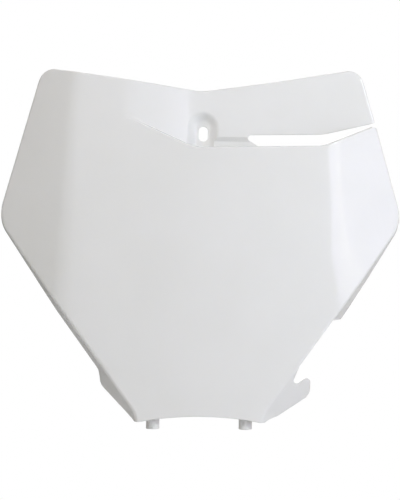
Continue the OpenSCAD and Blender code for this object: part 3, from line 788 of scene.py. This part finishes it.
low_x = np.arange(slot_x + slot_ramp, slot_far, slot_step)
high_x = np.arange(slot_x + slot_nose_r, slot_far, slot_step)[::-1]
nose_turns = np.linspace(nose_start, nose_end, nose_points)[1:]
lower = np.stack([low_x, rim_at(low_x) + slot_lift], -1)
upper = np.stack([high_x, slot_upper(high_x)], -1)
slot_end = np.stack([slot_x + slot_nose_r + slot_nose_r * np.cos(nose_turns),
                     slot_top_z - slot_nose_r + slot_nose_r * np.sin(nose_turns)], -1)
slot_foot = np.linspace(slot_end[-1], lower[0], ramp_steps + 1)[1:-1]
air_slot = np.concatenate([lower, upper, slot_end, slot_foot])
weight = np.concatenate([np.zeros(len(lower) + 1), np.ones(len(upper) - 1 + len(slot_end)),
                         np.linspace(1, 0, ramp_steps + 1)[1:-1]])
through("air_slot", air_slot, outward(air_slot), weight, (air_lip, rear_lip), depth=in_channel)


def corner(name, v, a, b, r, tier, lip):
    """Rounds the corner at v, between the directions of angles a and b."""
    da, db = (np.array((math.cos(t), math.sin(t))) for t in (a, b))
    half = math.acos(da @ db) / 2
    middle = (da + db) / np.linalg.norm(da + db)
    centre = v + middle * r / math.sin(half)
    first, last = (v + d * r / math.tan(half) - centre for d in (da, db))
    rays = [first * (1 - t) + last * t for t in np.linspace(0, 1, corner_points)]
    arc = np.array([centre + ray * r / np.linalg.norm(ray) for ray in rays])
    beyond = 1 + corner_clear / r
    outside = [centre + last * beyond, v - middle * r, centre + first * beyond]
    line = np.concatenate([arc, outside])
    normals = outward(line)
    normals[:len(arc)] = (centre - arc) / r
    through(name, line, normals, np.array([1.0] * len(arc) + [0.0] * len(outside)), (lip, lip), tier)


for s in (-1, 1):
    corner("top_corner", np.array((s * edge_x(top_corner_z[s]), top_corner_z[s])),
           math.pi / 2 + s * (math.pi / 2 + math.atan(top_slope[s])),
           s * (side_lean - math.pi / 2) + (math.pi if s < 0 else 0), top_corner_r, 1, air_lip)
slot_end_z = ((slot_upper(rise_x + facet_soft) + slot_rise * (edge_x(0) - rise_x - facet_soft))
              / (1 + slot_rise * math.tan(side_lean)))
corner("plate_corner", np.array((edge_x(rim_end_z) + edge_lip, rim_end_z)),
       math.pi + math.atan(rim_rise), side_lean - math.pi / 2, plate_corner_r, 0, air_lip)
corner("band_corner", np.array((edge_x(slot_end_z) + edge_lip, slot_end_z)),
       math.pi + math.atan(slot_rise), math.pi / 2 + side_lean, band_corner_r, 1, rear_lip)

# The gap in the right flange
# Hoses pass here, over the hook that the flange ends in. The gap is cut square
# across the flange, and its root is cleared down to the plate's rear.
gap_foot_z, hook_x, nose_r, nose_lean = -0.1654, 0.076, 0.003, math.radians(38)
gap_in, throat_in, root_clear, root_h = 0.0005, 3.2 * nose_r, 0.0003, 0.032
hook_points, throat_points = 24, 20
low_z = gap_foot_z - throat_in - nose_r
hook_nose = np.array([hook_x - nose_r, gap_foot_z - nose_r])
throat = np.array([hook_x - throat_in, gap_foot_z])
over_nose = [hook_nose + nose_r * np.array((math.sin(t), math.cos(t)))
             for t in np.linspace(math.pi / 2, -nose_lean, hook_points)]
in_throat = [throat - nose_r * np.array((math.sin(t), math.cos(t)))
             for t in np.linspace(-nose_lean, math.pi / 2, throat_points)]
keel_top, keel_foot = (np.array((edge_x(z) - gap_in, z)) for z in (gap_top_z, gap_foot_z + throat_in))
gap_line = np.array([keel_top, (half_w, gap_top_z), (half_w, low_z), (hook_x, low_z),
                     *over_nose, *in_throat, keel_foot])
lofted("flange_gap", [at_depth(gap_line, y) for y in (near, far)])


def behind(z):
    """Depth just behind the plate's rear, where the flange begins."""
    return float(plain.plate(edge_x(z) - fold_r, z)) + wall + root_clear


root_top, root_foot = gap_top_z - fold_r, gap_foot_z + throat_in
root_l = (root_top - root_foot) / math.cos(keel_lean)
root_lean = -math.atan((behind(root_top) - behind(root_foot)) / root_l)
along_keel = (Matrix.Translation((edge_x(root_top), behind(root_top), root_top))
              @ Matrix.Rotation(keel_lean, 4, "Y") @ Matrix.Rotation(root_lean, 4, "X"))
inner, outer = -2 * wall, half_w / 2 - 2 * wall
square = [(inner, 0), (outer, 0), (outer, root_h), (inner, root_h)]
lofted("gap_root", [[along_keel @ Vector((x, y, z)) for x, y in square] for z in (-root_l, 0)])

# The board as a piece
# The pressed sheet with its boss, shelf and pins is one solid moulding. What the
# tree and the cuts make becomes a plain mesh here, smooth but for its sharp edges.
sharp_angle = math.radians(40)
depsgraph = bpy.context.evaluated_depsgraph_get()
mesh = bpy.data.meshes.new_from_object(board.evaluated_get(depsgraph), depsgraph=depsgraph)
piece = bpy.data.objects.new("number_board_moulding", mesh)
bpy.context.collection.objects.link(piece)
for made in (board, *tools):
    bpy.data.objects.remove(made)
mesh.shade_smooth()
mesh.set_sharp_from_angle(angle=sharp_angle)
mesh.materials.clear()
mesh.materials.append(plastic)
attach(piece, "root")
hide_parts("number_board")

# The studio
# A plain white room with a pale floor that runs out of sight. Large soft lamps
# stand round the board, and three small ones make the streak on its right bend.
floor_z, floor_half, shadow_from, shadow_to = -0.30, 3.0, 0.25, 0.40
backdrop_full, backdrop_end = math.radians(12), math.radians(24)
white, floor_white = (1, 1, 1, 1), (0.9, 0.9, 0.9, 1)
ambient_colour, ambient = (1.0, 0.96, 0.84, 1), 0.05
lamps_aim, lamps_away = Vector((0, 0, -0.08)), 1.2
large, small, narrow = 0.8, 0.25, 0.16
scene.view_settings.view_transform = "Standard"
world = bpy.data.worlds.new("studio")
scene.world = world
world.use_nodes = True
world.node_tree.nodes.clear()


def seen(tree, coordinate):
    """1 for a ray that shows the white backdrop, straight or in a reflection."""
    path = tree.nodes.new("ShaderNodeLightPath")
    straight, glossy, clear = [Value(tree, path.outputs[name]) for name in
                               ("Is Camera Ray", "Is Glossy Ray", "Is Transmission Ray")]
    texture = straight.node("ShaderNodeTexCoord").socket.node
    ray = Value(tree, texture.outputs[coordinate])
    ray = ray.node("ShaderNodeVectorMath", {"operation": "NORMALIZE"}, {0: ray})
    to_rear = Value(tree, ray.node("ShaderNodeSeparateXYZ", {}, {0: ray}).socket.node.outputs["Y"])
    full, end = math.cos(backdrop_full), math.cos(backdrop_end)
    behind = least(most((to_rear - end) / (full - end), 0.0), 1.0)
    return most(straight, most(glossy, clear) * behind)


shown = seen(world.node_tree, "Generated")
dim = shown.node("ShaderNodeBackground", {}, {"Color": ambient_colour, "Strength": ambient})
backdrop = shown.node("ShaderNodeBackground", {}, {"Color": white, "Strength": 1.0})
mixed = shown.node("ShaderNodeMixShader", {}, {0: shown, 1: dim, 2: backdrop})
shown.node("ShaderNodeOutputWorld", {}, {"Surface": mixed})

pale = bpy.data.materials.new("pale_floor")
pale.use_nodes = True
pale.node_tree.nodes.clear()
shown = seen(pale.node_tree, "Object")
coords = shown.node("ShaderNodeTexCoord", out=3)
reach = coords.node("ShaderNodeVectorMath", {"operation": "LENGTH"}, {0: coords}, out=1)
far_off = least(most((reach - shadow_from) / (shadow_to - shadow_from), 0.0), 1.0)
matt = shown.node("ShaderNodeBsdfDiffuse", {}, {"Color": floor_white})
lit = shown.node("ShaderNodeEmission", {}, {"Color": white, "Strength": 1.0})
mixed = shown.node("ShaderNodeMixShader", {}, {0: shown * far_off, 1: matt, 2: lit})
shown.node("ShaderNodeOutputMaterial", {}, {"Surface": mixed})

plane = bpy.data.meshes.new("floor")
plane.from_pydata([(x * floor_half, y * floor_half, floor_z) for x, y in
                   ((-1, -1), (1, -1), (1, 1), (-1, 1))], [], [(0, 1, 2, 3)])
plane.materials.append(pale)
floor = bpy.data.objects.new("floor", plane)
bpy.context.collection.objects.link(floor)


def lamp(name, azimuth, elevation, size, power, colour):
    """A square soft lamp that aims at the board's middle."""
    az, el = math.radians(azimuth), math.radians(elevation)
    ray = Vector((math.sin(az) * math.cos(el), -math.cos(az) * math.cos(el), math.sin(el)))
    light = bpy.data.lights.new(name, "AREA")
    light.shape, light.size, light.energy, light.color = "SQUARE", size, power, colour
    stand = bpy.data.objects.new(name, light)
    bpy.context.collection.objects.link(stand)
    facing = ray.to_track_quat("Z", "Y").to_matrix().to_4x4()
    stand.matrix_world = Matrix.Translation(lamps_aim + ray * lamps_away) @ facing


for setting in (
    ("left", -60, 10, large, 0.88, (0.89, 1.0, 0.86)),
    ("left front", -30, 10, large, 0.58, (0.88, 1.0, 0.98)),
    ("left above", -30, 45, large, 6.1, (1.0, 0.92, 0.94)),
    ("right", 60, 10, large, 4.2, (0.82, 0.78, 1.0)),
    ("right rear", 118, 0, large, 1.9, (1.0, 0.83, 0.56)),
    ("streak above", 44, 20, narrow, 4.7, (0.89, 1.0, 0.93)),
    ("streak inner", 36, 5, small, 0.77, (0.8, 0.77, 1.0)),
    ("streak outer", 52, 5, small, 0.34, (1.0, 0.94, 0.78)),
    ("rear", 180, 40, large, 2.4, (1.0, 1.0, 1.0)),
):
    lamp(*setting)
